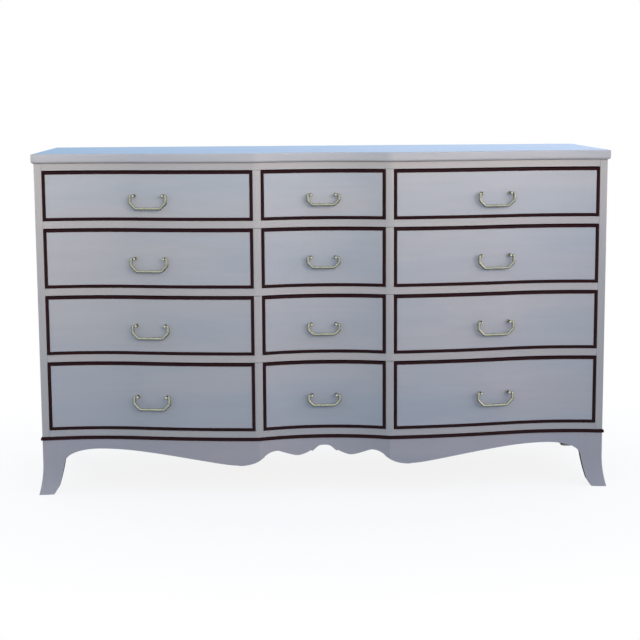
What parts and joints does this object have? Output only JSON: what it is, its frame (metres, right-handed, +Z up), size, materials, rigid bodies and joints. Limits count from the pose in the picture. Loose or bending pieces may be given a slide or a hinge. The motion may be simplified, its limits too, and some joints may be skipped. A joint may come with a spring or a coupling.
{
  "type": "serpentine-front dresser",
  "caption": "Wide serpentine-front chest of drawers in pale grey paint, with cock-beaded drawers, brass bail pulls, a scalloped apron and splayed French feet.",
  "frame": {"origin": "on the floor, below the middle of the whole piece in width and depth", "axes": "+X to the right as seen from the front, -Y out of the front, +Y to the back, +Z up"},
  "size_m": [1.5408, 0.5594, 0.914],
  "materials": {
    "grey_paint": "satin grey paint on wood",
    "mahogany_bead": "dark red-brown mahogany, waxed",
    "bare_wood": "unfinished planed wood",
    "brass": "pale antique brass"
  },
  "bodies": {
    "case": {"top_board": "grey_paint", "left_end_panel": "grey_paint", "right_end_panel": "grey_paint", "back_panel": "bare_wood", "base_bead": "mahogany_bead", "front_apron_and_feet": "grey_paint", "left_side_apron_and_foot": "grey_paint", "right_side_apron_and_foot": "grey_paint", "bottom_tier_frame": "grey_paint", "lower_tier_frame": "grey_paint", "upper_tier_frame": "grey_paint", "top_tier_frame": "grey_paint"},
    "bottom_left_drawer": {"bottom_left_front": "grey_paint", "bottom_left_bead": "mahogany_bead", "bottom_left_box": "bare_wood"},
    "bottom_left_handle": {"bottom_left_bail": "brass"},
    "bottom_centre_drawer": {"bottom_centre_front": "grey_paint", "bottom_centre_bead": "mahogany_bead", "bottom_centre_box": "bare_wood"},
    "bottom_centre_handle": {"bottom_centre_bail": "brass"},
    "bottom_right_drawer": {"bottom_right_front": "grey_paint", "bottom_right_bead": "mahogany_bead", "bottom_right_box": "bare_wood"},
    "bottom_right_handle": {"bottom_right_bail": "brass"},
    "lower_left_drawer": {"lower_left_front": "grey_paint", "lower_left_bead": "mahogany_bead", "lower_left_box": "bare_wood"},
    "lower_left_handle": {"lower_left_bail": "brass"},
    "lower_centre_drawer": {"lower_centre_front": "grey_paint", "lower_centre_bead": "mahogany_bead", "lower_centre_box": "bare_wood"},
    "lower_centre_handle": {"lower_centre_bail": "brass"},
    "lower_right_drawer": {"lower_right_front": "grey_paint", "lower_right_bead": "mahogany_bead", "lower_right_box": "bare_wood"},
    "lower_right_handle": {"lower_right_bail": "brass"},
    "upper_left_drawer": {"upper_left_front": "grey_paint", "upper_left_bead": "mahogany_bead", "upper_left_box": "bare_wood"},
    "upper_left_handle": {"upper_left_bail": "brass"},
    "upper_centre_drawer": {"upper_centre_front": "grey_paint", "upper_centre_bead": "mahogany_bead", "upper_centre_box": "bare_wood"},
    "upper_centre_handle": {"upper_centre_bail": "brass"},
    "upper_right_drawer": {"upper_right_front": "grey_paint", "upper_right_bead": "mahogany_bead", "upper_right_box": "bare_wood"},
    "upper_right_handle": {"upper_right_bail": "brass"},
    "top_left_drawer": {"top_left_front": "grey_paint", "top_left_bead": "mahogany_bead", "top_left_box": "bare_wood"},
    "top_left_handle": {"top_left_bail": "brass"},
    "top_centre_drawer": {"top_centre_front": "grey_paint", "top_centre_bead": "mahogany_bead", "top_centre_box": "bare_wood"},
    "top_centre_handle": {"top_centre_bail": "brass"},
    "top_right_drawer": {"top_right_front": "grey_paint", "top_right_bead": "mahogany_bead", "top_right_box": "bare_wood"},
    "top_right_handle": {"top_right_bail": "brass"}
  },
  "joints": [
    {"name": "bottom_left_slide", "type": "slide", "parent": "case", "child": "bottom_left_drawer", "axis": [0, -1, 0], "range_m": [0, 0.36]},
    {"name": "bottom_left_bail_hinge", "type": "hinge", "parent": "bottom_left_drawer", "child": "bottom_left_handle", "pos_m": [-0.46077, -0.2539, 0.26653], "axis": [-0.9844, 0.1761, 0], "range_deg": [-20, 200]},
    {"name": "bottom_centre_slide", "type": "slide", "parent": "case", "child": "bottom_centre_drawer", "axis": [0, -1, 0], "range_m": [0, 0.36]},
    {"name": "bottom_centre_bail_hinge", "type": "hinge", "parent": "bottom_centre_drawer", "child": "bottom_centre_handle", "pos_m": [0, -0.25734, 0.26653], "axis": [-1, 0, 0], "range_deg": [-20, 200]},
    {"name": "bottom_right_slide", "type": "slide", "parent": "case", "child": "bottom_right_drawer", "axis": [0, -1, 0], "range_m": [0, 0.36]},
    {"name": "bottom_right_bail_hinge", "type": "hinge", "parent": "bottom_right_drawer", "child": "bottom_right_handle", "pos_m": [0.46077, -0.2539, 0.26653], "axis": [-0.9844, -0.1761, 0], "range_deg": [-20, 200]},
    {"name": "lower_left_slide", "type": "slide", "parent": "case", "child": "lower_left_drawer", "axis": [0, -1, 0], "range_m": [0, 0.36]},
    {"name": "lower_left_bail_hinge", "type": "hinge", "parent": "lower_left_drawer", "child": "lower_left_handle", "pos_m": [-0.46077, -0.2539, 0.45873], "axis": [-0.9844, 0.1761, 0], "range_deg": [-20, 200]},
    {"name": "lower_centre_slide", "type": "slide", "parent": "case", "child": "lower_centre_drawer", "axis": [0, -1, 0], "range_m": [0, 0.36]},
    {"name": "lower_centre_bail_hinge", "type": "hinge", "parent": "lower_centre_drawer", "child": "lower_centre_handle", "pos_m": [0, -0.25734, 0.45873], "axis": [-1, 0, 0], "range_deg": [-20, 200]},
    {"name": "lower_right_slide", "type": "slide", "parent": "case", "child": "lower_right_drawer", "axis": [0, -1, 0], "range_m": [0, 0.36]},
    {"name": "lower_right_bail_hinge", "type": "hinge", "parent": "lower_right_drawer", "child": "lower_right_handle", "pos_m": [0.46077, -0.2539, 0.45873], "axis": [-0.9844, -0.1761, 0], "range_deg": [-20, 200]},
    {"name": "upper_left_slide", "type": "slide", "parent": "case", "child": "upper_left_drawer", "axis": [0, -1, 0], "range_m": [0, 0.36]},
    {"name": "upper_left_bail_hinge", "type": "hinge", "parent": "upper_left_drawer", "child": "upper_left_handle", "pos_m": [-0.46077, -0.2539, 0.63768], "axis": [-0.9844, 0.1761, 0], "range_deg": [-20, 200]},
    {"name": "upper_centre_slide", "type": "slide", "parent": "case", "child": "upper_centre_drawer", "axis": [0, -1, 0], "range_m": [0, 0.36]},
    {"name": "upper_centre_bail_hinge", "type": "hinge", "parent": "upper_centre_drawer", "child": "upper_centre_handle", "pos_m": [0, -0.25734, 0.63768], "axis": [-1, 0, 0], "range_deg": [-20, 200]},
    {"name": "upper_right_slide", "type": "slide", "parent": "case", "child": "upper_right_drawer", "axis": [0, -1, 0], "range_m": [0, 0.36]},
    {"name": "upper_right_bail_hinge", "type": "hinge", "parent": "upper_right_drawer", "child": "upper_right_handle", "pos_m": [0.46077, -0.2539, 0.63768], "axis": [-0.9844, -0.1761, 0], "range_deg": [-20, 200]},
    {"name": "top_left_slide", "type": "slide", "parent": "case", "child": "top_left_drawer", "axis": [0, -1, 0], "range_m": [0, 0.36]},
    {"name": "top_left_bail_hinge", "type": "hinge", "parent": "top_left_drawer", "child": "top_left_handle", "pos_m": [-0.46077, -0.2539, 0.80338], "axis": [-0.9844, 0.1761, 0], "range_deg": [-20, 200]},
    {"name": "top_centre_slide", "type": "slide", "parent": "case", "child": "top_centre_drawer", "axis": [0, -1, 0], "range_m": [0, 0.36]},
    {"name": "top_centre_bail_hinge", "type": "hinge", "parent": "top_centre_drawer", "child": "top_centre_handle", "pos_m": [0, -0.25734, 0.80338], "axis": [-1, 0, 0], "range_deg": [-20, 200]},
    {"name": "top_right_slide", "type": "slide", "parent": "case", "child": "top_right_drawer", "axis": [0, -1, 0], "range_m": [0, 0.36]},
    {"name": "top_right_bail_hinge", "type": "hinge", "parent": "top_right_drawer", "child": "top_right_handle", "pos_m": [0.46077, -0.2539, 0.80338], "axis": [-0.9844, -0.1761, 0], "range_deg": [-20, 200]}
  ]
}
